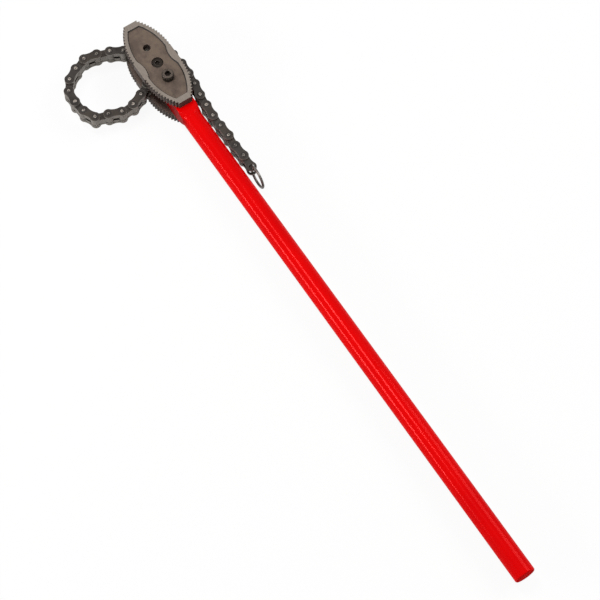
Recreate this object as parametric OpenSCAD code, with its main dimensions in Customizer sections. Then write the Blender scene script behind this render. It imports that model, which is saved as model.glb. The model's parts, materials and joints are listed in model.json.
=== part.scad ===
// Chain pipe wrench with two double-ended toothed jaws, a round bar handle and a plate chain.
// The origin is on the axis of the pivot bolt at floor level, X runs along the handle, Z is up.

/* [Overall] */
// Length from the jaw tips to the free end of the handle
overall_length = 940; // [760:5:1200]
// Space between the two jaws
jaw_gap = 28.6; // [25:0.1:30]

/* [Handle] */
// Diameter of the round bar
handle_diameter = 29; // [26:0.5:29]
// Rounding at the free end of the bar
handle_end_round = 2; // [1:0.5:6]
// Length over which the flat blade turns into the round bar
handle_blend = 18; // [10:1:40]

/* [Chain seat] */
// Distance from the pivot bolt to the tips of the seat's teeth
nose_radius = 18.4; // [17:0.1:19]
// Radius of the hub that the shackle straddles
hub_radius = 11.5; // [9:0.5:12.5]
// Metal left between the slot for the seat's heel and the jaw bolt
heel_wall = 3; // [2:0.5:5]

/* [Jaws] */
// Length of each jaw plate
jaw_length = 145; // [130:1:170]
// Width of the square jaw tips
jaw_end_width = 21; // [16:0.5:26]
// Thickness of each jaw plate
jaw_thickness = 13.2; // [11:0.1:16]
// Radius of the toothed edges
jaw_arc_radius = 88; // [80:1:110]
// Distance from the middle of the jaw to its widest point
jaw_arc_peak = 17.5; // [14:0.5:24]
// Length of the smooth part of each edge
jaw_waist = 28; // [20:1:34]
// Number of teeth on each of the four toothed edges
tooth_count = 13; // [8:1:16]
// Depth of the teeth
tooth_depth = 2.4; // [1.5:0.1:3.2]
// Width of the land left on each tooth
tooth_land = 0.7; // [0.3:0.1:1.5]
// Lean of the tooth gaps toward the jaw tips
tooth_lean = 0.6; // [0:0.1:1.2]
// Distance between the holes of a jaw
hole_spacing = 28; // [26:0.5:34]
// Diameter of the holes
hole_diameter = 10.8; // [10.4:0.1:12]

/* [Jaw panels] */
// Depth of the sunk panel
panel_depth = 2; // [0.8:0.1:2.4]
// Width of the rim along the teeth
panel_rim = 6.5; // [4.5:0.5:9]
// Width of the rim at the jaw tips
panel_end_rim = 9; // [6:0.5:12]
// Width of the panel at the waist
panel_waist = 40; // [32:0.5:42]
// Corner radius of the panel beside the waist
panel_corner = 12; // [8:0.5:13]

/* [Bolts] */
// Diameter of both bolts
bolt_diameter = 10; // [8:0.1:10]
// Gap round the bolts in the handle
bolt_clearance = 0.4; // [0.2:0.1:0.6]
// Head diameter of the sunk pivot bolt
pivot_head_diameter = 16; // [13:0.5:17]
// Head height of the pivot bolt
pivot_head_height = 6; // [4:0.5:6.5]
// Distance of the pivot bolt's head below the panel
pivot_head_sink = 1.6; // [0.4:0.1:2]
// Key size of the pivot bolt
pivot_key = 7; // [5:0.5:8]
// Head diameter of the jaw bolt
jaw_head_diameter = 16; // [15:0.5:18]
// Head height of the jaw bolt
jaw_head_height = 10; // [6:0.5:11]
// Key size of the jaw bolt
jaw_key = 8; // [6:0.5:9]
// Bevel on the bolt heads
head_bevel = 0.8; // [0.3:0.1:1.2]
// Width across the flats of the nuts
nut_width = 17; // [16:0.5:18]
// Height of the nuts
nut_height = 6; // [4:0.5:6]
// Gap round heads, nuts and the seat's heel in their pockets
pocket_clearance = 0.3; // [0.2:0.1:0.5]

/* [Chain] */
// Distance between neighbouring pins
pitch = 18.8; // [18:0.1:20]
// Height of the link plates
plate_height = 14.2; // [13.6:0.1:15]
// Radius of the waist of the link plates
plate_waist_radius = 22; // [16:1:40]
// Thickness of the link plates
plate_thickness = 3; // [2.4:0.1:3.2]
// Space between the inner plates
inner_gap = 8; // [7.6:0.1:8.4]
// Play between inner and outer plates
side_play = 0.3; // [0.2:0.05:0.4]
// Diameter of the pins
pin_diameter = 6; // [5:0.1:6.4]
// Running gap between a pin and its bush, on the radius
pin_clearance = 0.08; // [0.05:0.01:0.1]
// Outer diameter of the bushes
bush_diameter = 9.2; // [8.4:0.1:10]
// Height of the rivet heads
rivet_height = 0.8; // [0.4:0.1:1]
// Foot diameter of the rivet heads
rivet_diameter = 7.2; // [6.6:0.1:9]
// Distance from the pivot bolt to the first pin
shackle_reach = 28; // [27.5:0.1:30]
// Radius of the shackle's eyes
shackle_eye = 10.5; // [9:0.1:11]
// Gap between a rivet or bush and the plates that it is pressed into, on the radius
press_gap = 0.02; // [0.01:0.01:0.04]
// Direction of the shackle
shackle_heading = -64; // [-66:1:-63]
// Turn from each link to the next round the open loop, from the shackle on
loop_turns = [4, -6, -20, -26, 3, -46, -17, -12, -30, -24, -10, -31, -10, -11, 23];
// Turn from each link to the next round the chain seat
seat_turns = [-23, -20, -17, -16, -8];
// Turn from each link to the next along the handle, to the free end
tail_turns = [-4, -5, 6, 0, 5, 2, -6, 7, -2];

/* [Pull ring] */
// Diameter of the ring to the middle of its wire
ring_diameter = 32; // [30:0.5:38]
// Diameter of the wire
ring_wire = 3.6; // [2.4:0.1:3.8]
// Hole for the ring in the last link
ring_hole = 8; // [7:0.1:8.4]
// Turn of the ring from the last link
ring_turn = -5; // [-6:1:10]

/* [Hidden] */
$fn = 96;
hex = 6;
through = 1;
// Arcs that meet run this far into each other, so that they join cleanly.
bite = 0.15;

paint_red = [0.80, 0.04, 0.03];
forged_grey = [0.50, 0.45, 0.41];
bolt_black = [0.20, 0.19, 0.18];
plate_brown = [0.30, 0.27, 0.25];
plate_dark = [0.24, 0.22, 0.20];
wire_grey = [0.35, 0.35, 0.36];

mid_height = jaw_thickness + jaw_gap / 2;
stack_height = 2 * jaw_thickness + jaw_gap;
handle_end = overall_length - jaw_length / 2;
handle_radius = handle_diameter / 2;
neck_radius = min(handle_diameter, jaw_gap) / 2 - side_play;

// The toothed edge on one side of a jaw tip is an arc that runs through the tip's corner.
arc_drop = sqrt(pow(jaw_arc_radius, 2) - pow(jaw_length / 2 - jaw_arc_peak, 2)) - jaw_end_width / 2;
arc_end = asin((jaw_length / 2 - jaw_arc_peak) / jaw_arc_radius);
arc_start = asin((jaw_waist / 2 - jaw_arc_peak) / jaw_arc_radius);
tooth_step = (arc_end - arc_start) / tooth_count;
tooth_gap = jaw_arc_radius * tooth_step * PI / 180 - tooth_land;
waist_half = sqrt(pow(jaw_arc_radius, 2) - pow(jaw_waist / 2 - jaw_arc_peak, 2)) - arc_drop;

// The sunk panel has a lobe beside each edge of the waist and a round pinch between the lobes.
panel_radius = jaw_arc_radius - panel_rim;
panel_end = jaw_length / 2 - panel_end_rim;
lobe_y = panel_radius - panel_corner - arc_drop + bite;
// The waist stays at least this far inside the lobes.
pinch_least = 0.8;
pinch_half = min(panel_waist / 2, lobe_y + panel_corner - pinch_least);
lobe_rise = pinch_half - lobe_y;
pinch_radius = (pow(jaw_arc_peak, 2) + pow(lobe_rise, 2) - pow(panel_corner - bite, 2))
    / (2 * (panel_corner - bite - lobe_rise));
pinch_y = pinch_half + pinch_radius;
pinch_share = panel_corner / (panel_corner + pinch_radius - bite);

// Heights of the chain's layers above and below its middle plane.
inner_face = inner_gap / 2;
inner_outside = inner_face + plate_thickness;
outer_face = inner_outside + side_play;
outer_outside = outer_face + plate_thickness;
plate_radius = plate_height / 2;
bore_diameter = pin_diameter + 2 * pin_clearance;
rivet_hole = pin_diameter + 2 * press_gap;
bush_hole = bush_diameter + 2 * press_gap;
hub_half = outer_face - side_play;
tongue_half = inner_face - side_play;
washer_thickness = jaw_gap / 2 - outer_outside - side_play;

// The bushes of the chain drop into round gaps between the seat's teeth.
seat_circle = pitch;
seat_radius = bush_diameter / 2 + side_play;
seat_angles = [90, 150, 210, 270];
heel_reach = hole_spacing - (bolt_diameter + bolt_clearance) / 2 - heel_wall;

panel_level = stack_height - panel_depth;
pivot_seat = panel_level - pivot_head_sink - pivot_head_height;
nut_seat = panel_depth + nut_height + pocket_clearance;

chain_turns = concat(loop_turns, seat_turns, tail_turns);
link_count = len(chain_turns);

// Sum of the first turns of the chain.
function turned(k) = k == 0 ? 0 : turned(k - 1) + chain_turns[k - 1];

// Direction of a link, where the shackle counts as link 0.
function heading(k) = shackle_heading + turned(k);

// Unit vector in a direction.
function toward(angle) = [cos(angle), sin(angle), 0];

// Pin at the far end of a link.
function pin_at(k) = k == 0 ? shackle_reach * toward(heading(0))
    : pin_at(k - 1) + pitch * toward(heading(k));

// Flat plate with two round ends and a waist, from the origin to a point on X.
module plate_2d(first_radius, second_radius, span) {
    first = first_radius + plate_waist_radius - bite;
    second = second_radius + plate_waist_radius - bite;
    waist_x = (pow(first, 2) - pow(second, 2) + pow(span, 2)) / (2 * span);
    waist_y = sqrt(pow(first, 2) - pow(waist_x, 2));
    near = [waist_x, waist_y] * first_radius / first;
    far = [span, 0] + [waist_x - span, waist_y] * second_radius / second;
    circle(r = first_radius);
    translate([span, 0]) circle(r = second_radius);
    difference() {
        polygon([[0, 0], near, far, [span, 0], [far[0], -far[1]], [near[0], -near[1]]]);
        translate([waist_x, waist_y]) circle(r = plate_waist_radius);
        translate([waist_x, -waist_y]) circle(r = plate_waist_radius);
    }
}

// The same layer above and below the chain's middle plane.
module layer_pair(from, to) {
    translate([0, 0, from]) linear_extrude(to - from) children();
    translate([0, 0, -to]) linear_extrude(to - from) children();
}

// Plate of a link with a hole round each pin.
module link_plate_2d(first_hole, second_hole) {
    difference() {
        plate_2d(plate_radius, plate_radius, pitch);
        circle(d = first_hole);
        translate([pitch, 0]) circle(d = second_hole);
    }
}

// Rivet through the outer plates with a low head at each end.
module rivet() {
    foot = outer_outside + press_gap;
    cylinder(d = pin_diameter, h = 2 * foot, center = true);
    for (side = [0, 180])
        rotate([side, 0, 0])
            translate([0, 0, foot])
                cylinder(d1 = rivet_diameter, d2 = rivet_diameter - 2 * rivet_height, h = rivet_height);
}

// Place of a link in the chain as it lies.
module place_link(k) {
    start = pin_at(k - 1);
    translate([start[0], start[1], mid_height]) rotate([0, 0, heading(k)]) children();
}

// Outer link: two plates outside the inner links, pressed on two rivets.
module outer_link(number) {
    color(plate_brown) place_link(2 * number) {
        layer_pair(outer_face, outer_outside) link_plate_2d(rivet_hole, rivet_hole);
        rivet();
        translate([pitch, 0, 0]) rivet();
    }
}

// Bush that is pressed into two inner plates and turns on a rivet.
module bush() {
    difference() {
        cylinder(d = bush_diameter, h = 2 * inner_outside, center = true);
        cylinder(d = bore_diameter, h = 2 * inner_outside + through, center = true);
    }
}

// Inner link: two plates pressed on two bushes.
module inner_link(number) {
    color(plate_dark) place_link(2 * number - 1) {
        layer_pair(inner_face, inner_outside) link_plate_2d(bush_hole, bush_hole);
        bush();
        translate([pitch, 0, 0]) bush();
    }
}

// Last link: two plates on one bush, with an open eye for the pull ring.
module end_link() {
    color(plate_dark) place_link(link_count) {
        layer_pair(inner_face, inner_outside) link_plate_2d(bush_hole, ring_hole);
        bush();
    }
}

// Shackle: two long plates that swing on the pivot bolt and hold the first link.
module shackle() {
    color(plate_brown) translate([0, 0, mid_height]) rotate([0, 0, heading(0)]) {
        layer_pair(outer_face, outer_outside) difference() {
            plate_2d(shackle_eye, plate_radius, shackle_reach);
            circle(d = bolt_diameter + 2 * pin_clearance);
            translate([shackle_reach, 0]) circle(d = rivet_hole);
        }
        translate([shackle_reach, 0, 0]) rivet();
    }
}

// Pull ring that stands upright in the eye of the last link.
module pull_ring() {
    ring_radius = ring_diameter / 2;
    sag = ring_radius - sqrt(pow(ring_radius, 2) - pow(inner_outside, 2));
    color(wire_grey) place_link(link_count)
        translate([pitch, 0, 0]) rotate([0, 0, ring_turn])
            translate([ring_radius - sag / 2, 0, 0])
                rotate([90, 0, 0])
                    rotate_extrude() translate([ring_radius, 0]) circle(d = ring_wire);
}

// Half of a jaw's outline, on the side of +X, without teeth.
module jaw_half_2d() {
    intersection() {
        translate([jaw_arc_peak, -arc_drop]) circle(r = jaw_arc_radius);
        translate([jaw_arc_peak, arc_drop]) circle(r = jaw_arc_radius);
        translate([0, -jaw_arc_radius]) square([jaw_length / 2, 2 * jaw_arc_radius]);
    }
}

// One gap between two teeth, at the top of a toothed arc.
module tooth_gap_2d() {
    half = tooth_gap / 2;
    flare = half * (tooth_depth + through) / tooth_depth;
    polygon([
        [tooth_lean, jaw_arc_radius - tooth_depth],
        [flare, jaw_arc_radius + through],
        [-flare, jaw_arc_radius + through]
    ]);
}

// All the tooth gaps of the edge on the side of +X and +Y.
module teeth_2d() {
    translate([jaw_arc_peak, -arc_drop])
        for (i = [0 : tooth_count - 1])
            rotate(-(arc_start + (i + 0.5) * tooth_step)) tooth_gap_2d();
}

// Outline of a jaw with its four toothed edges.
module jaw_2d() {
    difference() {
        union() {
            jaw_half_2d();
            mirror([1, 0]) jaw_half_2d();
            square([jaw_waist, 2 * (waist_half - bite)], center = true);
        }
        for (flip_x = [0, 1], flip_y = [0, 1])
            mirror([flip_x, 0]) mirror([0, flip_y]) teeth_2d();
    }
}

// Half of the sunk panel, on the side of +X.
module panel_half_2d() {
    intersection() {
        translate([jaw_arc_peak, -arc_drop]) circle(r = panel_radius);
        translate([jaw_arc_peak, arc_drop]) circle(r = panel_radius);
        translate([jaw_arc_peak, -panel_radius]) square([panel_end - jaw_arc_peak, 2 * panel_radius]);
    }
    for (side = [-1, 1])
        translate([jaw_arc_peak, side * lobe_y]) circle(r = panel_corner);
}

// Sunk panel of a jaw with its pinched waist.
module panel_2d() {
    pinch_x = jaw_arc_peak * (1 - pinch_share);
    pinch_top = lobe_y + (pinch_y - lobe_y) * pinch_share;
    panel_half_2d();
    mirror([1, 0]) panel_half_2d();
    difference() {
        union() {
            square([2 * pinch_x, 2 * pinch_top], center = true);
            square([2 * jaw_arc_peak, 2 * lobe_y], center = true);
        }
        translate([0, pinch_y]) circle(r = pinch_radius);
        translate([0, -pinch_y]) circle(r = pinch_radius);
    }
}

// Jaw plate lying on its flat inner face, with the sunk panel on top.
module jaw_plate() {
    difference() {
        linear_extrude(jaw_thickness) jaw_2d();
        translate([0, 0, jaw_thickness - panel_depth]) linear_extrude(panel_depth + through) panel_2d();
        for (step = [-1, 0, 1])
            translate([step * hole_spacing, 0, -through])
                cylinder(d = hole_diameter, h = jaw_thickness + 2 * through);
    }
}

// Jaw on top, with a round pocket for the head of the pivot bolt.
module upper_jaw() {
    color(forged_grey) difference() {
        translate([0, 0, stack_height - jaw_thickness]) jaw_plate();
        translate([0, 0, pivot_seat])
            cylinder(d = pivot_head_diameter + 2 * pocket_clearance, h = stack_height - pivot_seat);
    }
}

// Jaw underneath, with a six-sided pocket for a nut at each hole.
module lower_jaw() {
    color(forged_grey) difference() {
        translate([0, 0, jaw_thickness]) mirror([0, 0, 1]) jaw_plate();
        for (step = [-1, 0, 1])
            translate([step * hole_spacing, 0, 0])
                cylinder(d = (nut_width + 2 * pocket_clearance) / cos(180 / hex), h = nut_seat, $fn = hex);
    }
}

// Round bolt head with a bevelled top and a six-sided key hole.
module bolt_head(diameter, height, key) {
    difference() {
        union() {
            cylinder(d = diameter, h = height - head_bevel);
            translate([0, 0, height - head_bevel])
                cylinder(d1 = diameter, d2 = diameter - 2 * head_bevel, h = head_bevel);
        }
        translate([0, 0, height / 2])
            cylinder(d = key / cos(180 / hex), h = height, $fn = hex);
    }
}

// Bolt that the shackle swings on, with its head sunk in the upper jaw.
module pivot_bolt() {
    color(bolt_black) {
        translate([0, 0, nut_seat - nut_height])
            cylinder(d = bolt_diameter, h = pivot_seat + nut_height - nut_seat);
        translate([0, 0, pivot_seat]) bolt_head(pivot_head_diameter, pivot_head_height, pivot_key);
    }
}

// Bolt that clamps the jaws on the blade of the handle, with its head standing on the panel.
module jaw_bolt() {
    color(bolt_black) translate([hole_spacing, 0, 0]) {
        translate([0, 0, nut_seat - nut_height])
            cylinder(d = bolt_diameter, h = panel_level + nut_height - nut_seat);
        translate([0, 0, panel_level]) bolt_head(jaw_head_diameter, jaw_head_height, jaw_key);
    }
}

// Nut seated in a pocket of the lower jaw.
module nut_at(x) {
    color(bolt_black) translate([x, 0, nut_seat - nut_height]) difference() {
        cylinder(d = nut_width / cos(180 / hex), h = nut_height, $fn = hex);
        translate([0, 0, -through]) cylinder(d = bolt_diameter, h = nut_height + 2 * through);
    }
}

module pivot_nut() {
    nut_at(0);
}

module jaw_nut() {
    nut_at(hole_spacing);
}

// Washer that fills the space between the shackle and a jaw.
module washer() {
    difference() {
        cylinder(r = hub_radius - side_play, h = washer_thickness);
        translate([0, 0, -through])
            cylinder(d = bolt_diameter + bolt_clearance, h = washer_thickness + 2 * through);
    }
}

module upper_washer() {
    color(wire_grey) translate([0, 0, stack_height - jaw_thickness - washer_thickness]) washer();
}

module lower_washer() {
    color(wire_grey) translate([0, 0, jaw_thickness]) washer();
}

// Solid of revolution along the handle, from a profile of radius and distance.
module along_handle() {
    rotate([0, 90, 0]) rotate_extrude() children();
}

// Round bar with a tapered start and a rounded free end.
module bar() {
    start = jaw_length / 2;
    along_handle() {
        polygon([
            [0, start],
            [neck_radius, start],
            [handle_radius, start + handle_blend],
            [handle_radius, handle_end - handle_end_round],
            [0, handle_end - handle_end_round]
        ]);
        translate([0, handle_end - handle_end_round])
            square([handle_radius - handle_end_round, handle_end_round]);
        translate([handle_radius - handle_end_round, handle_end - handle_end_round])
            intersection() {
                circle(r = handle_end_round);
                square(handle_end_round);
            }
    }
}

// Flat blade between the jaws, faded into the round bar behind them.
module blade() {
    start = jaw_length / 2;
    corner = sqrt(pow(handle_radius, 2) + pow(jaw_gap / 2, 2));
    intersection() {
        linear_extrude(jaw_gap, center = true) {
            translate([hole_spacing, 0]) circle(r = handle_radius);
            translate([hole_spacing, -handle_radius])
                square([start + handle_blend - hole_spacing, handle_diameter]);
        }
        along_handle() polygon([
            [0, 0],
            [corner + through, 0],
            [corner + through, start],
            [neck_radius, start + handle_blend],
            [0, start + handle_blend]
        ]);
    }
}

// Chain seat: a thin toothed tongue for the chain, a hub for the shackle and a heel in the blade.
module chain_seat() {
    color(plate_dark) translate([0, 0, mid_height]) difference() {
        union() {
            linear_extrude(2 * tongue_half, center = true) difference() {
                union() {
                    circle(r = nose_radius);
                    translate([0, -hub_radius]) square([heel_reach, 2 * hub_radius]);
                }
                for (angle = seat_angles)
                    rotate(angle) translate([seat_circle, 0]) circle(r = seat_radius);
            }
            cylinder(r = hub_radius, h = 2 * hub_half, center = true);
        }
        cylinder(d = bolt_diameter + bolt_clearance, h = jaw_gap, center = true);
    }
}

// Handle in one piece: round bar and flat blade, with a slot for the chain seat and a bolt hole.
module handle() {
    slot_half = tongue_half + pocket_clearance;
    color(paint_red) translate([0, 0, mid_height]) difference() {
        union() {
            bar();
            blade();
        }
        translate([0, -handle_radius, -slot_half])
            cube([heel_reach + pocket_clearance, handle_diameter, 2 * slot_half]);
        translate([hole_spacing, 0, 0])
            cylinder(d = bolt_diameter + bolt_clearance, h = jaw_gap + 2 * through, center = true);
    }
}

handle();
chain_seat();
upper_jaw();
lower_jaw();
pivot_bolt();
pivot_nut();
jaw_bolt();
jaw_nut();
upper_washer();
lower_washer();
shackle();
inner_link(1);  // inner_link_01
outer_link(1);  // outer_link_01
inner_link(2);  // inner_link_02
outer_link(2);  // outer_link_02
inner_link(3);  // inner_link_03
outer_link(3);  // outer_link_03
inner_link(4);  // inner_link_04
outer_link(4);  // outer_link_04
inner_link(5);  // inner_link_05
outer_link(5);  // outer_link_05
inner_link(6);  // inner_link_06
outer_link(6);  // outer_link_06
inner_link(7);  // inner_link_07
outer_link(7);  // outer_link_07
inner_link(8);  // inner_link_08
outer_link(8);  // outer_link_08
inner_link(9);  // inner_link_09
outer_link(9);  // outer_link_09
inner_link(10);  // inner_link_10
outer_link(10);  // outer_link_10
inner_link(11);  // inner_link_11
outer_link(11);  // outer_link_11
inner_link(12);  // inner_link_12
outer_link(12);  // outer_link_12
inner_link(13);  // inner_link_13
outer_link(13);  // outer_link_13
inner_link(14);  // inner_link_14
outer_link(14);  // outer_link_14
end_link();
pull_ring();
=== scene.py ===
"""Chain pipe wrench: finishes, fine shapes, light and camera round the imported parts.

All sizes are in metres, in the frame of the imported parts: the origin is on the axis of the
pivot bolt at floor level, X runs along the handle and Z is up.
"""

from __future__ import annotations

import json
import logging
import math
from dataclasses import dataclass
from enum import Enum
from typing import Any, Union

import bmesh
import bpy
from mathutils import Matrix, Vector

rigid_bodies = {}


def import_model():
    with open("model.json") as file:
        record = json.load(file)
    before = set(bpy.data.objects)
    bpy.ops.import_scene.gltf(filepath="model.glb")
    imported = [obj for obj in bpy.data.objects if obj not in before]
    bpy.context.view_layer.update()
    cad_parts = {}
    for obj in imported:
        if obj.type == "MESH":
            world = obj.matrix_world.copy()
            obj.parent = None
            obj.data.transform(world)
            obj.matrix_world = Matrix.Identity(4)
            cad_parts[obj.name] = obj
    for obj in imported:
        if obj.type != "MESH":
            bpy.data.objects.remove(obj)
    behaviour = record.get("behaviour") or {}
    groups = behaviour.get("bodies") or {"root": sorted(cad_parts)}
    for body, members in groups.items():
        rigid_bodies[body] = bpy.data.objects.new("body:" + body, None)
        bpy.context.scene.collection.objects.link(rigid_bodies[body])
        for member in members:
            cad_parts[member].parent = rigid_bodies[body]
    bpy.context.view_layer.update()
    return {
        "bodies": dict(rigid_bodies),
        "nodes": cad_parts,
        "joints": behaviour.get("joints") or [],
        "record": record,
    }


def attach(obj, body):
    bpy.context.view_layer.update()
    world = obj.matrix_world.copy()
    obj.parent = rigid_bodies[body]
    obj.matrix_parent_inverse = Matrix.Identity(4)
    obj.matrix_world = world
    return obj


Pair = tuple[float, float]
Triple = tuple[float, float, float]
Colour = tuple[float, float, float]

LOG = logging.getLogger("chain_wrench")
MM = 0.001
JOIN = 0.001 * MM

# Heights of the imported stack: its middle, half its height, the sunk panel and the chain's face
MID_HEIGHT = 27.5 * MM
STACK_HALF = 27.5 * MM
PANEL_DEPTH = 2.0 * MM
PLATE_OUTSIDE = 10.3 * MM

# Where the shader masks start and end, and how finely they are sampled
FACING_TURN: Pair = (0.72, 0.92)
EDGE_TURN: Pair = (0.015, 0.16)
EDGE_SAMPLES = 6
HOLLOW_SAMPLES = 8


def srgb(red: int, green: int, blue: int) -> Colour:
    """Turns a display colour into the linear colour that shaders take.

    Args:
        red: Red channel from 0 to 255.
        green: Green channel from 0 to 255.
        blue: Blue channel from 0 to 255.

    Returns:
        The three linear channels from 0 to 1.
    """

    def linear(channel: int) -> float:
        """Linear value of one display channel, by the sRGB curve."""
        share = channel / 255
        return share / 12.92 if share <= 0.04045 else ((share + 0.055) / 1.055) ** 2.4

    return linear(red), linear(green), linear(blue)


class Term:
    """A socket that can stand in a Python expression, which then adds its Math nodes."""

    def __init__(self, graph: Graph, socket: bpy.types.NodeSocket) -> None:
        """Keeps the socket and the graph that it belongs to."""
        self.graph = graph
        self.socket = socket

    def __add__(self, other: Operand) -> Term:
        """Sum of this value and another."""
        return self.graph.math("ADD", self, other)

    def __sub__(self, other: Operand) -> Term:
        """This value less another."""
        return self.graph.math("SUBTRACT", self, other)

    def __rsub__(self, other: Operand) -> Term:
        """Another value less this one."""
        return self.graph.math("SUBTRACT", other, self)

    def __mul__(self, other: Operand) -> Term:
        """Product of this value and another."""
        return self.graph.math("MULTIPLY", self, other)

    def __abs__(self) -> Term:
        """Value without its sign."""
        return self.graph.math("ABSOLUTE", self, 0.0)

    __radd__ = __add__
    __rmul__ = __mul__


Operand = Union[float, Term]


@dataclass(frozen=True)
class Grain:
    """Noise of one kind: blotches in a metre, finer layers, their strength and a soft edge."""

    scale: float
    detail: float = 3.0
    rough: float = 0.55
    edge: Pair = (0.0, 1.0)


class Graph:
    """The nodes of one material or world."""

    def __init__(self, tree: bpy.types.NodeTree) -> None:
        """Takes over a node tree and empties it."""
        self.tree = tree
        tree.nodes.clear()

    def add(
        self,
        kind: str,
        settings: dict[str, Any] | None = None,
        inputs: dict[str | int, Any] | None = None,
        out: str | int = 0,
    ) -> Term | None:
        """Adds any node, sets it and links its sockets.

        Args:
            kind: Blender's name of the node's type.
            settings: The node's own settings, which are set first.
            inputs: Values or terms for the node's input sockets, by name or number.
            out: Name or number of the output socket that is returned.

        Returns:
            The output as a term, or None for a node without outputs.
        """
        node = self.tree.nodes.new(kind)
        for name, value in (settings or {}).items():
            setattr(node, name, value)
        for name, value in (inputs or {}).items():
            if isinstance(value, Term):
                self.tree.links.new(value.socket, node.inputs[name])
            elif isinstance(value, tuple) and node.inputs[name].type == "RGBA":
                node.inputs[name].default_value = (*value, 1.0)
            else:
                node.inputs[name].default_value = value
        return Term(self, node.outputs[out]) if node.outputs else None

    def math(self, operation: str, first: Operand, second: Operand) -> Term:
        """Adds one Math node.

        Args:
            operation: Blender's name of the operation.
            first: First value or term.
            second: Second value or term.

        Returns:
            The result as a term.
        """
        return self.add("ShaderNodeMath", {"operation": operation}, {0: first, 1: second})

    def place(self) -> Term:
        """Place on the object, in metres."""
        return self.add("ShaderNodeTexCoord", out="Object")

    def part(self, vector: Term, axis: str) -> Term:
        """One axis of a vector.

        Args:
            vector: The vector.
            axis: X, Y or Z.

        Returns:
            That axis as a value.
        """
        return self.add("ShaderNodeSeparateXYZ", inputs={0: vector}, out=axis)

    def stretch(self, vector: Term, scale: Triple) -> Term:
        """Scales a place along the three axes, for grain that runs one way.

        Args:
            vector: The place.
            scale: Scale along X, Y and Z.

        Returns:
            The scaled place.
        """
        return self.add("ShaderNodeMapping", inputs={"Vector": vector, "Scale": scale})

    def noise(self, vector: Term, grain: Grain) -> Term:
        """Smooth noise from 0 to 1.

        Args:
            vector: Place that it is read at.
            grain: Kind of noise.

        Returns:
            The noise as a value.
        """
        sockets = {
            "Vector": vector,
            "Scale": grain.scale,
            "Detail": grain.detail,
            "Roughness": grain.rough,
        }
        return self.add("ShaderNodeTexNoise", inputs=sockets, out="Fac")

    def step(self, value: Operand, low: float, high: float) -> Term:
        """Soft step from 0 at low to 1 at high.

        Args:
            value: Value that is stepped.
            low: Start of the step.
            high: End of the step.

        Returns:
            The step as a value.
        """
        sockets = {"Value": value, "From Min": low, "From Max": high}
        return self.add("ShaderNodeMapRange", {"interpolation_type": "SMOOTHSTEP"}, sockets)

    def blotches(self, vector: Term, grain: Grain) -> Term:
        """Noise cut by the soft edge of its grain.

        Args:
            vector: Place that it is read at.
            grain: Kind of noise.

        Returns:
            The mask as a value.
        """
        return self.step(self.noise(vector, grain), *grain.edge)

    def mix(self, factor: Operand, first: Colour | Term, second: Colour | Term) -> Term:
        """Blend of two colours.

        Args:
            factor: Share of the second colour.
            first: First colour.
            second: Second colour.

        Returns:
            The blended colour.
        """
        return self.add("ShaderNodeMix", {"data_type": "RGBA"}, {0: factor, 6: first, 7: second}, 2)

    def facing(self, axis: str) -> Term:
        """1 on faces that look along an axis, either way, and 0 on those that lie along it.

        Args:
            axis: X, Y or Z.

        Returns:
            The mask as a value.
        """
        normal = self.add("ShaderNodeNewGeometry", out="Normal")
        return self.step(abs(self.part(normal, axis)), *FACING_TURN)

    def edges(self, radius: float) -> Term:
        """1 along sharp edges, where handling rubs the surface, and 0 elsewhere.

        Args:
            radius: Width of the rubbed line.

        Returns:
            The mask as a value.
        """
        flat = self.add("ShaderNodeNewGeometry", out="True Normal")
        soft = self.add("ShaderNodeBevel", {"samples": EDGE_SAMPLES}, {"Radius": radius})
        product = {"operation": "DOT_PRODUCT"}
        along = self.add("ShaderNodeVectorMath", product, {0: flat, 1: soft}, "Value")
        return self.step(1.0 - along, *EDGE_TURN)

    def hollows(self, distance: float) -> Term:
        """1 deep in corners and gaps of the same piece, where painted shade and dirt go, and 0 in
        the open.

        Args:
            distance: Reach of the darkening.

        Returns:
            The mask as a value.
        """
        settings = {"only_local": True, "samples": HOLLOW_SAMPLES}
        return 1.0 - self.add("ShaderNodeAmbientOcclusion", settings, {"Distance": distance}, "AO")

    def bump(self, height: Term, distance: float, strength: float) -> Term:
        """Fine relief.

        Args:
            height: Height from 0 to 1.
            distance: Depth of the relief in metres.
            strength: Share of the relief that is used.

        Returns:
            The bent normal.
        """
        sockets = {"Height": height, "Distance": distance, "Strength": strength}
        return self.add("ShaderNodeBump", inputs=sockets)


@dataclass(frozen=True)
class Finish:
    """A finish that makes one material."""

    name: str

    def surface(self, graph: Graph) -> dict[str, Any]:
        """Values and terms for the shader's sockets."""
        raise NotImplementedError

    def material(self) -> bpy.types.Material:
        """Makes the material of this finish.

        Returns:
            The material.
        """
        made = bpy.data.materials.new(self.name)
        made.use_nodes = True
        graph = Graph(made.node_tree)
        shader = graph.add("ShaderNodeBsdfPrincipled", inputs=self.surface(graph))
        graph.add("ShaderNodeOutputMaterial", inputs={"Surface": shader})
        return made


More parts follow.
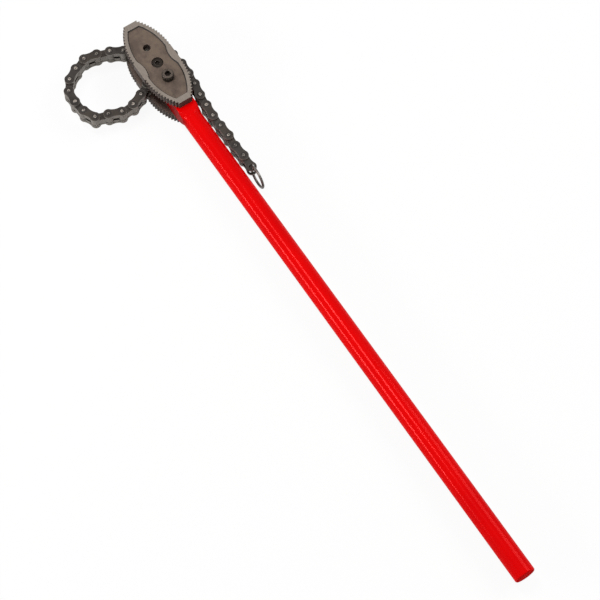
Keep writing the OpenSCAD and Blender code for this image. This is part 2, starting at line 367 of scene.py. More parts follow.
@dataclass(frozen=True)
class RedPaint(Finish):
    """Glossy red paint with a faint orange peel, a few rubbed edges and painted shade on its sides
    near the jaws.
    """

    fresh: Colour = srgb(204, 2, 3)
    deep: Colour = srgb(196, 1, 3)
    primer: Colour = srgb(92, 40, 36)
    # painted shade: a dark red that stands for the jaws' shadow on the handle's sides near them
    jaw_shade: Colour = srgb(88, 8, 8)
    drift: Grain = Grain(11.0, 2.0, edge=(0.35, 0.7))
    chips: Grain = Grain(420.0, edge=(0.52, 0.6))
    peel: Grain = Grain(620.0, 1.0, 0.4)
    peel_depth: float = 0.02 * MM
    peel_strength: float = 0.18
    rubbed_width: float = 0.9 * MM
    rubbed_share: float = 0.7
    jaw_shade_reach: Pair = (80.0 * MM, 106.0 * MM)
    jaw_shade_share: float = 0.8
    metal: float = 0.035
    specular: float = 0.03
    rough: float = 0.16
    drift_dulls: float = 0.03
    rubbed_dulls: float = 0.3
    end_dulls: float = 0.75
    flank_dulls: float = 0.3

    def surface(self, graph: Graph) -> dict[str, Any]:
        """Works out what the shader's sockets get.

        Args:
            graph: Node tree of the material.

        Returns:
            Values and terms by socket.
        """
        place = graph.place()
        drift = graph.blotches(place, self.drift)
        rubbed = graph.edges(self.rubbed_width) * graph.blotches(place, self.chips)
        flank = graph.facing("Y")
        near_jaws = 1.0 - graph.step(graph.part(place, "X"), *self.jaw_shade_reach)
        paint = graph.mix(drift, self.fresh, self.deep)
        # painted shade on the Y-facing sides of the handle near the jaws
        paint = graph.mix(self.jaw_shade_share * flank * near_jaws, paint, self.jaw_shade)
        dull = self.rough + self.drift_dulls * drift + self.rubbed_dulls * rubbed
        dull = dull + self.end_dulls * graph.facing("X") + self.flank_dulls * flank
        peel = graph.noise(place, self.peel)
        return {
            "Base Color": graph.mix(rubbed * self.rubbed_share, paint, self.primer),
            "Roughness": dull,
            "Metallic": self.metal,
            "Specular IOR Level": self.specular,
            "Normal": graph.bump(peel, self.peel_depth, self.peel_strength),
        }


@dataclass(frozen=True)
class ForgedJaw(Finish):
    """Forged steel: dull brown skin in the panel, a ground rim, darker sides that are partly
    painted shade, and painted shade with soot in the gaps between teeth.
    """

    rim: Colour = srgb(119, 110, 102)
    rim_dull: Colour = srgb(86, 78, 71)
    panel: Colour = srgb(90, 75, 63)
    panel_dark: Colour = srgb(70, 57, 48)
    # flank: the sides' own darker skin, made darker still as painted shade
    flank: Colour = srgb(64, 52, 46)
    inside: Colour = srgb(88, 73, 65)
    stain: Colour = srgb(50, 39, 32)
    # painted shade with soot, put by ambient occlusion in gaps and corners
    soot_and_shade: Colour = srgb(29, 19, 13)
    bright: Colour = srgb(158, 150, 141)
    outside_at: Pair = (STACK_HALF - 5.0 * MM, STACK_HALF - 3.0 * MM)
    rim_at: Pair = (STACK_HALF - 0.8 * MM, STACK_HALF - 0.35 * MM)
    blotch: Grain = Grain(48.0, 5.0, 0.65, (0.4, 0.64))
    skin: Grain = Grain(700.0, 3.0, 0.6)
    ground: Grain = Grain(1.0, 2.0, edge=(0.35, 0.75))
    ground_stretch: Triple = (160.0, 2400.0, 300.0)
    smudge: Grain = Grain(105.0, 5.0, 0.7, (0.54, 0.74))
    stain_share: float = 0.65
    ground_share: float = 0.5
    smudge_share: float = 0.5
    bright_width: float = 0.5 * MM
    bright_share: float = 0.55
    soot_and_shade_reach: float = 5.0 * MM
    soot_and_shade_at: Pair = (0.3, 0.75)
    soot_and_shade_share: float = 0.85
    metal: float = 0.35
    rim_metal: float = 0.25
    rough: float = 0.56
    rim_gloss: float = 0.1
    blotch_dulls: float = 0.1
    rim_smooths: float = 0.75
    ground_relief: float = 0.35
    relief_depth: float = 0.12 * MM
    relief_strength: float = 0.6

    def surface(self, graph: Graph) -> dict[str, Any]:
        """Works out what the shader's sockets get.

        Args:
            graph: Node tree of the material.

        Returns:
            Values and terms by socket.
        """
        place = graph.place()
        height = abs(graph.part(place, "Z") - MID_HEIGHT)
        level = graph.facing("Z")
        outside = level * graph.step(height, *self.outside_at)
        on_rim = level * graph.step(height, *self.rim_at)
        blotch = graph.noise(place, self.blotch)
        skin = graph.noise(place, self.skin)
        ground = graph.noise(graph.stretch(place, self.ground_stretch), self.ground)
        smudge = graph.blotches(place, self.smudge)
        forged = graph.mix(graph.step(blotch, *self.blotch.edge), self.panel, self.panel_dark)
        forged = graph.mix(self.stain_share * smudge, forged, self.stain)
        dull = self.ground_share * graph.step(ground, *self.ground.edge)
        filed = graph.mix(dull + self.smudge_share * smudge, self.rim, self.rim_dull)
        # faces that are not level take the flank colour, which is partly painted shade
        body = graph.mix(level, self.flank, self.inside)
        body = graph.mix(outside, body, forged)
        body = graph.mix(on_rim, body, filed)
        body = graph.mix(graph.edges(self.bright_width) * self.bright_share, body, self.bright)
        # painted shade with soot: ambient occlusion darkens the gaps between teeth and the corners
        grime_and_shade = graph.step(graph.hollows(self.soot_and_shade_reach), *self.soot_and_shade_at)
        relief = skin * (1.0 - self.rim_smooths * on_rim) + self.ground_relief * ground * on_rim
        return {
            "Base Color": graph.mix(grime_and_shade * self.soot_and_shade_share, body, self.soot_and_shade),
            "Metallic": self.metal + self.rim_metal * on_rim,
            "Roughness": self.rough - self.rim_gloss * on_rim + self.blotch_dulls * blotch,
            "Normal": graph.bump(relief, self.relief_depth, self.relief_strength),
        }


@dataclass(frozen=True)
class PanelWall(Finish):
    """Dark scale that a forging keeps in the corner of its sunk panel, darkened further as painted
    shade.
    """

    # scale colour, darkened further as painted shade along the panel's wall
    scale: Colour = srgb(32, 26, 23)
    rubbed: Colour = srgb(54, 45, 39)
    patch: Grain = Grain(160.0, 4.0, 0.6, (0.45, 0.75))
    metal: float = 0.2
    rough: float = 0.62
    patch_dulls: float = 0.2
    relief_depth: float = 0.08 * MM
    relief_strength: float = 0.5

    def surface(self, graph: Graph) -> dict[str, Any]:
        """Works out what the shader's sockets get.

        Args:
            graph: Node tree of the material.

        Returns:
            Values and terms by socket.
        """
        patch = graph.noise(graph.place(), self.patch)
        return {
            "Base Color": graph.mix(graph.step(patch, *self.patch.edge), self.scale, self.rubbed),
            "Metallic": self.metal,
            "Roughness": self.rough + self.patch_dulls * patch,
            "Normal": graph.bump(patch, self.relief_depth, self.relief_strength),
        }


@dataclass(frozen=True)
class ChainSteel(Finish):
    """Oiled dark plate with paler worn edges, sides made paler as painted light, bare rivet heads,
    and painted shade with soot in hollows and round the heads' feet.
    """

    plate: Colour = srgb(44, 39, 35)
    brown: Colour = srgb(31, 26, 23)
    rust: Colour = srgb(58, 46, 36)
    # painted light: the plates' sides are made paler to stand for the bright floor and backdrop
    # that they reflect
    side: Colour = srgb(118, 112, 105)
    worn: Colour = srgb(124, 117, 110)
    head: Colour = srgb(130, 122, 114)
    # painted shade with soot, in hollows and round the rivet heads' feet
    soot_and_shade: Colour = srgb(18, 14, 12)
    head_at: Pair = (PLATE_OUTSIDE + 0.75 * MM, PLATE_OUTSIDE + 1.15 * MM)
    # painted shade: a dark ring in the crease round each rivet head's foot
    foot_shade_at: Pair = (PLATE_OUTSIDE, PLATE_OUTSIDE + 0.08 * MM)
    patch: Grain = Grain(70.0, 4.0, 0.6, (0.35, 0.68))
    rust_spots: Grain = Grain(24.0, 2.0, edge=(0.52, 0.66))
    rust_share: float = 0.3
    hammer_marks: Grain = Grain(430.0, 3.0, 0.6, (0.36, 0.56))
    worn_width: float = 0.8 * MM
    worn_share: float = 0.55
    soot_and_shade_reach: float = 3.0 * MM
    soot_and_shade_at: Pair = (0.5, 0.9)
    soot_and_shade_share: float = 0.5
    foot_shade_share: float = 0.9
    metal: float = 0.55
    rough: float = 0.46
    patch_dulls: float = 0.16
    head_gloss: float = 0.14
    grit: Grain = Grain(900.0, 3.0, 0.6)
    grit_depth: float = 0.06 * MM
    grit_strength: float = 0.5

    def surface(self, graph: Graph) -> dict[str, Any]:
        """Works out what the shader's sockets get.

        Args:
            graph: Node tree of the material.

        Returns:
            Values and terms by socket.
        """
        place = graph.place()
        height = abs(graph.part(place, "Z") - MID_HEIGHT)
        on_head = graph.step(height, *self.head_at)
        # painted shade round each rivet head's foot
        shade_at_foot = graph.step(height, *self.foot_shade_at) * (1.0 - on_head)
        patch = graph.noise(place, self.patch)
        rusty = self.rust_share * graph.blotches(place, self.rust_spots)
        oiled = graph.mix(graph.step(patch, *self.patch.edge), self.plate, self.brown)
        oiled = graph.mix(rusty, oiled, self.rust)
        # painted light on the sides of the plates
        oiled = graph.mix(graph.facing("Z"), self.side, oiled)
        hammered = graph.blotches(place, self.hammer_marks)
        body = graph.mix(on_head * hammered, oiled, self.head)
        body = graph.mix(graph.edges(self.worn_width) * self.worn_share, body, self.worn)
        # painted shade with soot, by ambient occlusion in hollows
        deep = graph.step(graph.hollows(self.soot_and_shade_reach), *self.soot_and_shade_at) * self.soot_and_shade_share
        grime_and_shade = graph.math("MAXIMUM", deep, shade_at_foot * self.foot_shade_share)
        grit = graph.noise(place, self.grit)
        return {
            "Base Color": graph.mix(grime_and_shade, body, self.soot_and_shade),
            "Metallic": self.metal,
            "Roughness": self.rough + self.patch_dulls * patch - self.head_gloss * on_head,
            "Normal": graph.bump(grit, self.grit_depth, self.grit_strength),
        }


@dataclass(frozen=True)
class BoltSteel(Finish):
    """Blackened bolt steel, rubbed bare on the corners and on the proud head, with painted shade
    and soot in its hollows.
    """

    black: Colour = srgb(35, 28, 23)
    rubbed: Colour = srgb(78, 69, 62)
    bright: Colour = srgb(134, 125, 117)
    # painted shade with soot, by ambient occlusion in the bolts' hollows
    soot_and_shade: Colour = srgb(14, 11, 10)
    top_at: Pair = (STACK_HALF + 4.0 * MM, STACK_HALF + 6.0 * MM)
    wipe: Grain = Grain(260.0, 4.0, 0.6, (0.25, 0.55))
    bright_width: float = 0.5 * MM
    bright_share: float = 0.7
    soot_and_shade_reach: float = 6.0 * MM
    soot_and_shade_at: Pair = (0.4, 0.85)
    soot_and_shade_share: float = 0.9
    metal: float = 0.8
    rough: float = 0.32
    wipe_dulls: float = 0.18
    relief_depth: float = 0.04 * MM
    relief_strength: float = 0.4

    def surface(self, graph: Graph) -> dict[str, Any]:
        """Works out what the shader's sockets get.

        Args:
            graph: Node tree of the material.

        Returns:
            Values and terms by socket.
        """
        place = graph.place()
        height = abs(graph.part(place, "Z") - MID_HEIGHT)
        top = graph.facing("Z") * graph.step(height, *self.top_at)
        wipe = graph.noise(place, self.wipe)
        body = graph.mix(top * graph.step(wipe, *self.wipe.edge), self.black, self.rubbed)
        body = graph.mix(graph.edges(self.bright_width) * self.bright_share, body, self.bright)
        # painted shade with soot in hollows, by ambient occlusion
        grime_and_shade = graph.step(graph.hollows(self.soot_and_shade_reach), *self.soot_and_shade_at)
        return {
            "Base Color": graph.mix(grime_and_shade * self.soot_and_shade_share, body, self.soot_and_shade),
            "Metallic": self.metal,
            "Roughness": self.rough + self.wipe_dulls * wipe,
            "Normal": graph.bump(wipe, self.relief_depth, self.relief_strength),
        }


@dataclass(frozen=True)
class RingWire(Finish):
    """Drawn wire with a fine grain and dull patches."""

    wire: Colour = srgb(104, 99, 95)
    dull: Colour = srgb(72, 66, 62)
    patch: Grain = Grain(140.0, 4.0, 0.6, (0.35, 0.7))
    metal: float = 0.85
    rough: float = 0.3
    patch_dulls: float = 0.2
    grain: Grain = Grain(1500.0, 2.0)
    grain_depth: float = 0.03 * MM
    grain_strength: float = 0.4

    def surface(self, graph: Graph) -> dict[str, Any]:
        """Works out what the shader's sockets get.

        Args:
            graph: Node tree of the material.

        Returns:
            Values and terms by socket.
        """
        place = graph.place()
        patch = graph.noise(place, self.patch)
        grain = graph.noise(place, self.grain)
        return {
            "Base Color": graph.mix(graph.step(patch, *self.patch.edge), self.wire, self.dull),
            "Metallic": self.metal,
            "Roughness": self.rough + self.patch_dulls * patch,
            "Normal": graph.bump(grain, self.grain_depth, self.grain_strength),
        }


class Paint(Enum):
    """The finishes of the wrench."""

    RED = RedPaint("red_gloss_paint")
    JAW = ForgedJaw("forged_jaw_steel")
    WALL = PanelWall("dark_panel_wall")
    CHAIN = ChainSteel("oiled_chain_steel")
    BOLT = BoltSteel("black_bolt_steel")
    WIRE = RingWire("drawn_ring_wire")


class PaintShop:
    """Makes each material once and puts it on the pieces."""

    def __init__(self) -> None:
        """Makes all the materials."""
        self.stock = {paint: paint.value.material() for paint in Paint}

    def dress(self, piece: bpy.types.Object, paint: Paint) -> None:
        """Gives a piece one material in all its slots.

        Args:
            piece: Mesh object.
            paint: Finish that it gets.
        """
        slots = piece.material_slots
        if not slots:
            piece.data.materials.append(self.stock[paint])
        for slot in slots:
            slot.material = self.stock[paint]


@dataclass(frozen=True)
class EdgeRounding:
    """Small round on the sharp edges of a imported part, as live modifiers."""

    width: float
    segments: int = 2
    angle: float = math.radians(32)
    seam: float = 0.002 * MM
    clamp: bool = True

    def apply(self, part: bpy.types.Object) -> None:
        """Adds the modifiers to a part.

        Args:
            part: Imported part, whose own mesh stays as it is.
        """
        weld = part.modifiers.new("join_seams", "WELD")
        weld.merge_threshold = self.seam
        bevel = part.modifiers.new("round_edges", "BEVEL")
        bevel.limit_method = "ANGLE"
        bevel.angle_limit = self.angle
        bevel.width = self.width
        bevel.segments = self.segments
        bevel.profile = 0.5
        bevel.miter_outer = "MITER_ARC"
        bevel.use_clamp_overlap = self.clamp


def finish_mesh(name: str, shape: bmesh.types.BMesh, smooth_angle: float) -> bpy.types.Object:
    """Turns a bmesh into an object with outward faces and smooth curves.

    Args:
        name: Name of the object.
        shape: The bmesh, which is freed.
        smooth_angle: Edges sharper than this stay sharp, in radians.

    Returns:
        The object, linked into the scene.
    """
    bmesh.ops.remove_doubles(shape, verts=shape.verts[:], dist=JOIN)
    bmesh.ops.recalc_face_normals(shape, faces=shape.faces[:])
    mesh = bpy.data.meshes.new(name)
    shape.to_mesh(mesh)
    shape.free()
    mesh.shade_smooth()
    mesh.set_sharp_from_angle(angle=smooth_angle)
    made = bpy.data.objects.new(name, mesh)
    bpy.context.scene.collection.objects.link(made)
    return made


def spin_profile(
    shape: bmesh.types.BMesh, points: list[Pair], closed: bool, steps: int
) -> list[bmesh.types.BMVert]:
    """Turns a profile of radius and height round the Z axis.

    Args:
        shape: Bmesh that gets the faces.
        points: Radius and height of each profile point.
        closed: Whether the profile's last point joins its first.
        steps: Number of steps in the full turn.

    Returns:
        The new points.
    """
    before = set(shape.verts)
    verts = [shape.verts.new((radius, 0.0, height)) for radius, height in points]
    pairs = list(zip(verts, verts[1:])) + ([(verts[-1], verts[0])] if closed else [])
    edges = [shape.edges.new(pair) for pair in pairs]
    bmesh.ops.spin(
        shape,
        geom=[*verts, *edges],
        cent=(0, 0, 0),
        axis=(0, 0, 1),
        angle=math.tau,
        steps=steps,
        use_merge=True,
    )
    return [vert for vert in shape.verts if vert not in before]


def run_arc(
    shape: bmesh.types.BMesh,
    start: bmesh.types.BMVert,
    centre: Pair,
    angle: float,
    steps: int,
) -> bmesh.types.BMVert:
    """Runs a level arc on from a point.

    Args:
        shape: Bmesh that gets the arc.
        start: Point that it starts at.
        centre: Centre of the arc.
        angle: Turn in radians.
        steps: Number of straight pieces.

    Returns:
        The arc's last point.
    """
    made = bmesh.ops.spin(
        shape, geom=[start], cent=(*centre, 0.0), axis=(0, 0, 1), angle=angle, steps=steps
    )
    return next(item for item in made["geom_last"] if isinstance(item, bmesh.types.BMVert))


@dataclass
class Handle:
    """Round red bar with its blade."""

    edge: float = 0.5 * MM

    def dress(self, nodes: dict[str, bpy.types.Object], shop: PaintShop) -> None:
        """Rounds and paints the handle.

        Args:
            nodes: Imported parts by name.
            shop: Source of the materials.
        """
        EdgeRounding(self.edge).apply(nodes["handle"])
        shop.dress(nodes["handle"], Paint.RED)
        LOG.info("handle painted")


@dataclass
class Jaws:
    """The two toothed jaw plates, with drafted walls round their sunk panels."""

    length: float = 145.0 * MM
    end_width: float = 21.0 * MM
    arc_radius: float = 88.0 * MM
    arc_peak: float = 17.5 * MM
    rim: float = 6.5 * MM
    end_rim: float = 9.0 * MM
    waist: float = 40.0 * MM
    corner: float = 12.0 * MM
    draft: float = 1.5 * MM
    sunk: float = 0.12 * MM
    edge: float = 0.3 * MM
    arc_steps: int = 24
    smooth: float = math.radians(35)

    def panel_quarter(self, shape: bmesh.types.BMesh) -> None:
        """Draws a quarter of the panel's outline, from the tip to the waist.

        Args:
            shape: Bmesh that gets the outline.
        """
        reach = self.length / 2 - self.arc_peak
        drop = math.sqrt(self.arc_radius**2 - reach**2) - self.end_width / 2
        radius = self.arc_radius - self.rim
        tip = self.length / 2 - self.end_rim
        lobe_y = radius - self.corner - drop
        rise = self.waist / 2 - lobe_y
        pinch = (self.arc_peak**2 + rise**2 - self.corner**2) / (2 * (self.corner - rise))
        pinch_y = self.waist / 2 + pinch
        lean = math.atan2(self.arc_peak, pinch_y - lobe_y)
        sweep = math.asin((tip - self.arc_peak) / radius)
        start = shape.verts.new((tip, 0.0, 0.0))
        corner = shape.verts.new((tip, radius * math.cos(sweep) - drop, 0.0))
        shape.edges.new((start, corner))
        last = run_arc(shape, corner, (self.arc_peak, -drop), sweep, self.arc_steps)
        last = run_arc(shape, last, (self.arc_peak, lobe_y), lean, self.arc_steps)
        run_arc(shape, last, (0.0, pinch_y), -lean, self.arc_steps)

    def draft_wall(self, name: str, side: int) -> bpy.types.Object:
        """Makes the sloped wall that a forging die leaves round the sunk panel.

        Args:
            name: Name of the piece.
            side: 1 for the upper jaw and -1 for the lower one.

        Returns:
            The piece.
        """
        shape = bmesh.new()
        self.panel_quarter(shape)
        for axis in "XY":
            drawn = [*shape.verts, *shape.edges]
            bmesh.ops.mirror(shape, geom=drawn, axis=axis, merge_dist=JOIN)
        bmesh.ops.remove_doubles(shape, verts=shape.verts[:], dist=JOIN)
        face = bmesh.ops.contextual_create(shape, geom=shape.edges[:])["faces"]
        bmesh.ops.inset_region(
            shape, faces=face, thickness=self.draft, use_boundary=True, use_even_offset=True
        )
        rim = [edge for edge in shape.edges if edge.is_boundary]
        toe = list(face[0].edges)
        bmesh.ops.delete(shape, geom=face, context="FACES_ONLY")
        wall = bmesh.ops.extrude_edge_only(shape, edges=rim)["geom"]
        wall_edges = [item for item in wall if isinstance(item, bmesh.types.BMEdge)]
        foot = [edge for edge in wall_edges if edge.is_boundary]
        low = PANEL_DEPTH + self.sunk
        for vert in {vert for edge in [*toe, *foot] for vert in edge.verts}:
            vert.co.z -= low
        bmesh.ops.bridge_loops(shape, edges=[*toe, *foot])
        top = MID_HEIGHT + side * (STACK_HALF - self.sunk)
        seat = Matrix.Translation((0, 0, top)) @ Matrix.Diagonal((1, 1, side, 1))
        bmesh.ops.transform(shape, matrix=seat, verts=shape.verts[:])
        return finish_mesh(name, shape, self.smooth)

    def dress(self, nodes: dict[str, bpy.types.Object], shop: PaintShop) -> None:
        """Rounds and dresses both jaws and adds their drafted walls.

        Args:
            nodes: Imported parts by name.
            shop: Source of the materials.
        """
        for name, side in (("upper_jaw", 1), ("lower_jaw", -1)):
            EdgeRounding(self.edge, clamp=False).apply(nodes[name])
            wall = self.draft_wall(f"{name}_panel_draft", side)
            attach(wall, "frame")
            shop.dress(nodes[name], Paint.JAW)
            shop.dress(wall, Paint.WALL)
            LOG.info("%s dressed, with its panel wall", name)


@dataclass
class Bolts:
    """Both bolts, their nuts and the washers, with a knurl on the proud head."""

    names: tuple[str, ...] = (
        "pivot_bolt",
        "pivot_nut",
        "jaw_bolt",
        "jaw_nut",
        "upper_washer",
        "lower_washer",
    )
    head_radius: float = 8.0 * MM
    head_x: float = 28.0 * MM
    knurl_low: float = 1.0 * MM
    knurl_high: float = 8.4 * MM
    knurl_inside: float = 1.0 * MM
    ridge: float = 0.28 * MM
    ridges: int = 44
    edge: float = 0.25 * MM
    smooth: float = math.radians(25)

    def knurl(self) -> bpy.types.Object:
        """Makes the ring of ridges round the proud head.

        Returns:
            The piece.
        """
        shape = bmesh.new()
        inside, outside = self.head_radius - self.knurl_inside, self.head_radius
        section = [
            (inside, self.knurl_low),
            (outside, self.knurl_low),
            (outside + self.ridge, self.knurl_low + self.ridge),
            (outside + self.ridge, self.knurl_high - self.ridge),
            (outside, self.knurl_high),
            (inside, self.knurl_high),
        ]
        spin_profile(shape, section, True, 2 * self.ridges)
        step = math.pi / self.ridges
        for vert in shape.verts:
            turn = round(math.atan2(vert.co.y, vert.co.x) / step)
            radius = vert.co.xy.length
            if turn % 2 and radius > outside + self.ridge / 2:
                vert.co.xy *= outside / radius
        floor = MID_HEIGHT + STACK_HALF - PANEL_DEPTH
        bmesh.ops.translate(shape, verts=shape.verts[:], vec=(self.head_x, 0.0, floor))
        return finish_mesh("jaw_bolt_knurl", shape, self.smooth)

    def dress(self, nodes: dict[str, bpy.types.Object], shop: PaintShop) -> None:
        """Rounds and dresses the bolts, nuts and washers, and adds the knurl.

        Args:
            nodes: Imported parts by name.
            shop: Source of the materials.
        """
        for name in self.names:
            EdgeRounding(self.edge).apply(nodes[name])
            shop.dress(nodes[name], Paint.BOLT)
        ring = self.knurl()
        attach(ring, "frame")
        shop.dress(ring, Paint.BOLT)
        LOG.info("bolts, nuts and washers dressed, with the knurl")


@dataclass
class Chain:
    """Shackle, links, pull ring and chain seat, with what fills the links and the rivet heads.

    The dome lists the points of a rivet head as shares of its radius and height.
    """

    head_radius: float = 3.3 * MM
    head_height: float = 1.25 * MM
    dome: tuple[Pair, ...] = ((0.36, 1.0), (0.62, 0.9), (0.84, 0.62), (0.97, 0.28))
    dimple: float = 0.35 * MM
    dimple_radius: float = 0.16
    dimple_slope: float = 0.8
    skirt: float = 0.75 * MM
    skirt_height: float = 0.14 * MM
    skirt_slope: float = 0.7
    uneven_width: float = 0.07
    uneven_height: float = 0.14
    width_waves: float = 900.0
    height_waves: float = 700.0
    eye_radius: float = 6.85 * MM
    eye_bore: float = 4.75 * MM
    core_half: float = 3.75 * MM
    core_edge: float = 0.4 * MM
    web_half: float = 5.2 * MM
    web_start: float = 4.4 * MM
    lug_hollow: float = 7.35 * MM
    lug_foot: float = 7.5 * MM
    slit_half: float = 2.4 * MM
    seat_reach: float = 34.0 * MM
    steps: int = 24
    edge: float = 0.4 * MM
    smooth: float = math.radians(50)

    def rivet_heads(self, name: str, pins: list[Vector]) -> bpy.types.Object:
        """Makes the hammered heads on both sides of one link's rivets.

        Args:
            name: Name of the piece.
            pins: Places of the rivets.

        Returns:
            The piece.
        """
        shape = bmesh.new()
        radius, height = self.head_radius, self.head_height
        profile = [
            (0.0, height - self.dimple),
            (self.dimple_radius * radius, height - self.dimple_slope * self.dimple),
            *((out * radius, up * height) for out, up in self.dome),
            (radius, self.skirt_height),
            (radius + self.skirt, self.skirt_slope * self.skirt_height),
            (radius + self.skirt, 0.0),
            (0.0, 0.0),
        ]
        for pin in pins:
            for side in (1, -1):
                fresh = spin_profile(shape, profile, False, self.steps)
                sway = math.sin(self.width_waves * (pin.x + side * pin.y))
                lift = math.sin(self.height_waves * (pin.y - side * pin.x))
                wide = 1.0 + self.uneven_width * sway
                tall = 1.0 + self.uneven_height * lift
                place = Matrix.Translation((pin.x, pin.y, MID_HEIGHT + side * PLATE_OUTSIDE))
                size = Matrix.Diagonal((wide, 2.0 - wide, side * tall, 1.0))
                bmesh.ops.transform(shape, matrix=place @ size, verts=fresh)
        return finish_mesh(name, shape, self.smooth)

    def between(self, pins: list[Vector]) -> Matrix:
        """Place half way between two pins of a link, turned along it, at the chain's middle.

        Args:
            pins: Places of the two pins.

        Returns:
            The matrix that takes a piece there.
        """
        along = pins[1].xy - pins[0].xy
        middle = (pins[0].xy + pins[1].xy) / 2
        turn = Matrix.Rotation(math.atan2(along.y, along.x), 4, "Z")
        return Matrix.Translation((*middle, MID_HEIGHT)) @ turn

    def lugs(self, name: str, pins: list[Vector]) -> bpy.types.Object:
        """Makes the lugs inside an outer link's plates, hollowed round the next links' eyes.

        Args:
            name: Name of the piece.
            pins: Places of the rivets.

        Returns:
            The piece.
        """
        shape = bmesh.new()
        half = (pins[1].xy - pins[0].xy).length / 2
        sweep = math.asin(self.web_half / self.lug_hollow)
        inner_x = self.lug_hollow * math.cos(sweep) - half
        start = shape.verts.new((inner_x, -self.web_half, self.slit_half))
        run_arc(shape, start, (-half, 0.0), 2 * sweep, self.steps)
        drawn = [*shape.verts, *shape.edges]
        bmesh.ops.mirror(shape, geom=drawn, axis="X", merge_dist=0.0)
        sheet = bmesh.ops.bridge_loops(shape, edges=shape.edges[:])["faces"]
        raised = bmesh.ops.extrude_face_region(shape, geom=sheet, use_keep_orig=True)["geom"]
        tops = [item for item in raised if isinstance(item, bmesh.types.BMVert)]
        bmesh.ops.translate(shape, verts=tops, vec=(0.0, 0.0, self.lug_foot - self.slit_half))
        upper = [*shape.verts, *shape.edges, *shape.faces]
        bmesh.ops.mirror(shape, geom=upper, axis="Z", merge_dist=0.0)
        bmesh.ops.transform(shape, matrix=self.between(pins), verts=shape.verts[:])
        return finish_mesh(name, shape, self.smooth)

    def core(self, name: str, pins: list[Vector]) -> bpy.types.Object:
        """Makes the solid middle of one link: an eye round each bush and the web between them.

        Args:
            name: Name of the piece.
            pins: Places of the bushes.

        Returns:
            The piece.
        """
        shape = bmesh.new()
        low, high, edge = -self.core_half, self.core_half, self.core_edge
        section = [
            (self.eye_bore, low),
            (self.eye_radius - edge, low),
            (self.eye_radius, low + edge),
            (self.eye_radius, high - edge),
            (self.eye_radius - edge, high),
            (self.eye_bore, high),
        ]
        for pin in pins:
            fresh = spin_profile(shape, section, True, self.steps)
            bmesh.ops.translate(shape, verts=fresh, vec=(pin.x, pin.y, MID_HEIGHT))
        if len(pins) == 2:
            web = bmesh.ops.create_cube(shape, size=1.0)["verts"]
            length = (pins[1].xy - pins[0].xy).length - 2 * self.web_start
            size = Matrix.Diagonal((length, 2 * self.web_half, high - low, 1.0))
            bmesh.ops.transform(shape, matrix=self.between(pins) @ size, verts=web)
        return finish_mesh(name, shape, self.smooth)

    def add(self, piece: bpy.types.Object, link: str, shop: PaintShop) -> None:
        """Lets a piece ride on its link in the chain's finish.

        Args:
            piece: The piece.
            link: Link that carries it.
            shop: Source of the materials.
        """
        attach(piece, link)
        shop.dress(piece, Paint.CHAIN)

    def dress(self, frame: dict[str, Any], shop: PaintShop) -> None:
        """Dresses the chain and adds the rivet heads, lugs and solid middles of its links.

        Args:
            frame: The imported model.
            shop: Source of the materials.
        """
        nodes = frame["nodes"]
        pins = {joint["child"]: Vector(joint["pos_m"]) for joint in frame["joints"]}
        order = [joint["child"] for joint in frame["joints"]]
        for link, after in zip(order, order[1:]):
            EdgeRounding(self.edge).apply(nodes[link])
            shop.dress(nodes[link], Paint.CHAIN)
            held = [pins[link], pins[after]]
            if link == "shackle":
                held = [pins[after]]
            elif link == "end_link":
                held = [pins[link]]
            free = [pin for pin in held if pin.xy.length > self.seat_reach]
            if link == "shackle" or link.startswith("outer"):
                self.add(self.rivet_heads(f"{link}_rivet_heads", held), link, shop)
                if len(free) == 2:
                    self.add(self.lugs(f"{link}_lugs", free), link, shop)
            elif free:
                self.add(self.core(f"{link}_core", free), link, shop)
            LOG.info("%s dressed", link)
        for name, paint in (("pull_ring", Paint.WIRE), ("chain_seat", Paint.CHAIN)):
            shop.dress(nodes[name], paint)
            LOG.info("%s dressed", name)


@dataclass(frozen=True)
class SoftLamp:
    """A lamp's place, the point that it faces, its width, its length and its power in watts."""

    place: Triple
    target: Triple
    width: float
    length: float
    power: float


class Lamp(Enum):
    """The soft lamps of the studio."""

    HIGHLIGHT = SoftLamp((-0.28, -0.37, 2.5), (-0.28, 0.0, 0.0), 0.38, 0.85, 29.0)
    SIDE_LINE = SoftLamp((-0.42, -2.42, 1.0), (-0.42, 0.0, 0.0), 0.42, 1.26, 48.0)
    FAR_SIDE = SoftLamp((0.75, 1.9, 2.0), (0.6, 0.0, 0.0), 1.4, 1.8, 42.0)


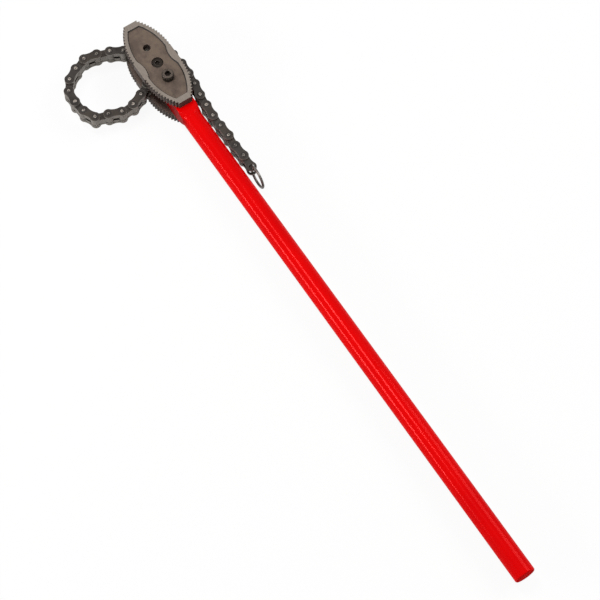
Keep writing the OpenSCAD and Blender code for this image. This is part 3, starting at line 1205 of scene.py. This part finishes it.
@dataclass
class Studio:
    """Camera, pale floor, soft lamps and white surroundings."""

    eye: Triple = (1.3237, -0.6379, 2.5144)
    target: Triple = (0.3887, -0.0210, 0.0025)
    lens: float = 123.7
    sensor: float = 36.0
    clip: Pair = (0.05, 60.0)
    floor_size: float = 12.0
    floor_pale: Colour = (0.72, 0.72, 0.72)
    floor_white: float = 0.92
    floor_smooth: float = math.radians(30)
    sky: float = 0.48
    horizon: float = 0.14
    sky_rise: Pair = (0.0, 0.9)

    def camera(self) -> None:
        """Sets the camera at the photograph's angle."""
        data = bpy.data.cameras.new("photo_camera")
        data.lens, data.sensor_width = self.lens, self.sensor
        data.clip_start, data.clip_end = self.clip
        made = bpy.data.objects.new("photo_camera", data)
        made.location = self.eye
        view = Vector(self.target) - Vector(self.eye)
        made.rotation_euler = view.to_track_quat("-Z", "Y").to_euler()
        bpy.context.scene.collection.objects.link(made)
        bpy.context.scene.camera = made

    def seen(self, graph: Graph) -> Term:
        """1 for rays that show the surroundings and 0 for those that only light the wrench.

        Args:
            graph: Node tree that asks.

        Returns:
            The mask as a value.
        """
        kinds = ("Camera", "Glossy", "Transmission")
        rays = [graph.add("ShaderNodeLightPath", out=f"Is {kind} Ray") for kind in kinds]
        return graph.math("MINIMUM", rays[0] + rays[1] + rays[2], 1.0)

    def floor(self) -> None:
        """Lays the pale floor, which shows white and keeps a soft shadow."""
        shape = bmesh.new()
        bmesh.ops.create_grid(shape, x_segments=1, y_segments=1, size=self.floor_size / 2)
        made = finish_mesh("floor", shape, self.floor_smooth)
        paper = bpy.data.materials.new("pale_floor")
        paper.use_nodes = True
        graph = Graph(paper.node_tree)
        matt = graph.add("ShaderNodeBsdfDiffuse", inputs={"Color": self.floor_pale})
        glow = graph.add("ShaderNodeEmission", inputs={"Strength": 1.0})
        sockets = {0: self.seen(graph) * self.floor_white, 1: matt, 2: glow}
        shader = graph.add("ShaderNodeMixShader", inputs=sockets)
        graph.add("ShaderNodeOutputMaterial", inputs={"Surface": shader})
        made.data.materials.append(paper)

    def surroundings(self) -> None:
        """Makes the world white where it is seen and plain where it only lights."""
        world = bpy.data.worlds.new("white_room")
        world.use_nodes = True
        graph = Graph(world.node_tree)
        direction = graph.add("ShaderNodeTexCoord", out="Generated")
        upward = graph.step(graph.part(direction, "Z"), *self.sky_rise)
        light = self.horizon + (self.sky - self.horizon) * upward
        seen = self.seen(graph)
        sockets = {"Color": (1.0, 1.0, 1.0), "Strength": light * (1.0 - seen) + seen}
        back = graph.add("ShaderNodeBackground", inputs=sockets)
        graph.add("ShaderNodeOutputWorld", inputs={"Surface": back})
        bpy.context.scene.world = world

    def lamps(self) -> None:
        """Hangs the soft lamps, each with its length along the handle."""
        for lamp in Lamp:
            soft = lamp.value
            data = bpy.data.lights.new(f"lamp_{lamp.name.lower()}", "AREA")
            data.shape, data.energy = "RECTANGLE", soft.power
            data.size, data.size_y = soft.length, soft.width
            made = bpy.data.objects.new(data.name, data)
            down = (Vector(soft.target) - Vector(soft.place)).normalized()
            across = down.cross(Vector((1.0, 0.0, 0.0))).normalized()
            along = across.cross(down).normalized()
            turn = Matrix((along, -across, -down)).transposed().to_4x4()
            made.matrix_world = Matrix.Translation(soft.place) @ turn
            bpy.context.scene.collection.objects.link(made)

    def build(self) -> None:
        """Sets up the whole studio."""
        self.camera()
        self.floor()
        self.surroundings()
        self.lamps()
        bpy.context.scene.view_settings.view_transform = "Standard"
        LOG.info("studio ready")


def main() -> None:
    """Builds the wrench's looks and the studio."""
    logging.basicConfig(level=logging.INFO, format="%(name)s: %(message)s")
    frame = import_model()
    shop = PaintShop()
    Handle().dress(frame["nodes"], shop)
    Jaws().dress(frame["nodes"], shop)
    Bolts().dress(frame["nodes"], shop)
    Chain().dress(frame, shop)
    Studio().build()


if __name__ == "__main__":
    main()
